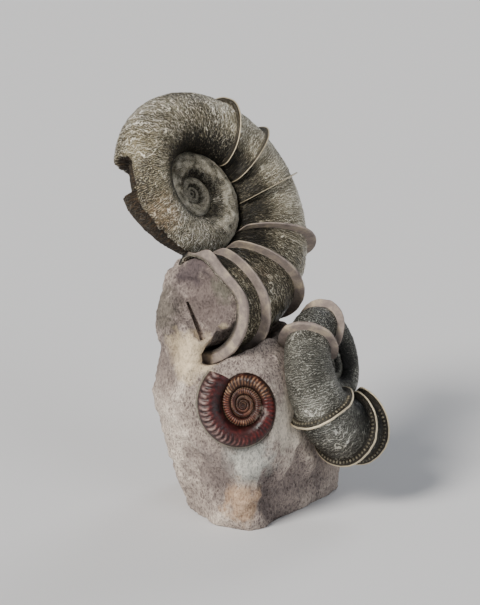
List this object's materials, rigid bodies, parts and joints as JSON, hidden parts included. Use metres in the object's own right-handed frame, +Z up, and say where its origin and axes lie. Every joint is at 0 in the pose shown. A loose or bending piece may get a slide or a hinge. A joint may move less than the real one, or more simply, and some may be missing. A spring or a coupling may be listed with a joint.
{
  "type": "fossil lytoceras ammonite",
  "caption": "Decorative fossil group: coiled lytoceras ammonites with raised collars and a small ribbed ammonite on a prepared stone matrix with a flat-cut base.",
  "frame": {"origin": "middle of the flat-cut base, on the surface it stands on", "axes": "+Z up, -Y towards the front with the small ribbed ammonite, +X to the side shell"},
  "size_m": [0.2198, 0.1992, 0.3261],
  "materials": {
    "matrix": "matt, air-pen worked limestone",
    "upper_shell": "semi-gloss fossil shell with fine crinkled growth lines",
    "side_shell": "semi-gloss fossil shell with fine crinkled growth lines",
    "ribbed_shell": "glossy red-brown calcite"
  },
  "bodies": {
    "root": {"matrix_stone": "matrix", "upper_lytoceras": "upper_shell", "side_lytoceras": "side_shell", "ribbed_ammonite": "ribbed_shell"}
  },
  "joints": []
}
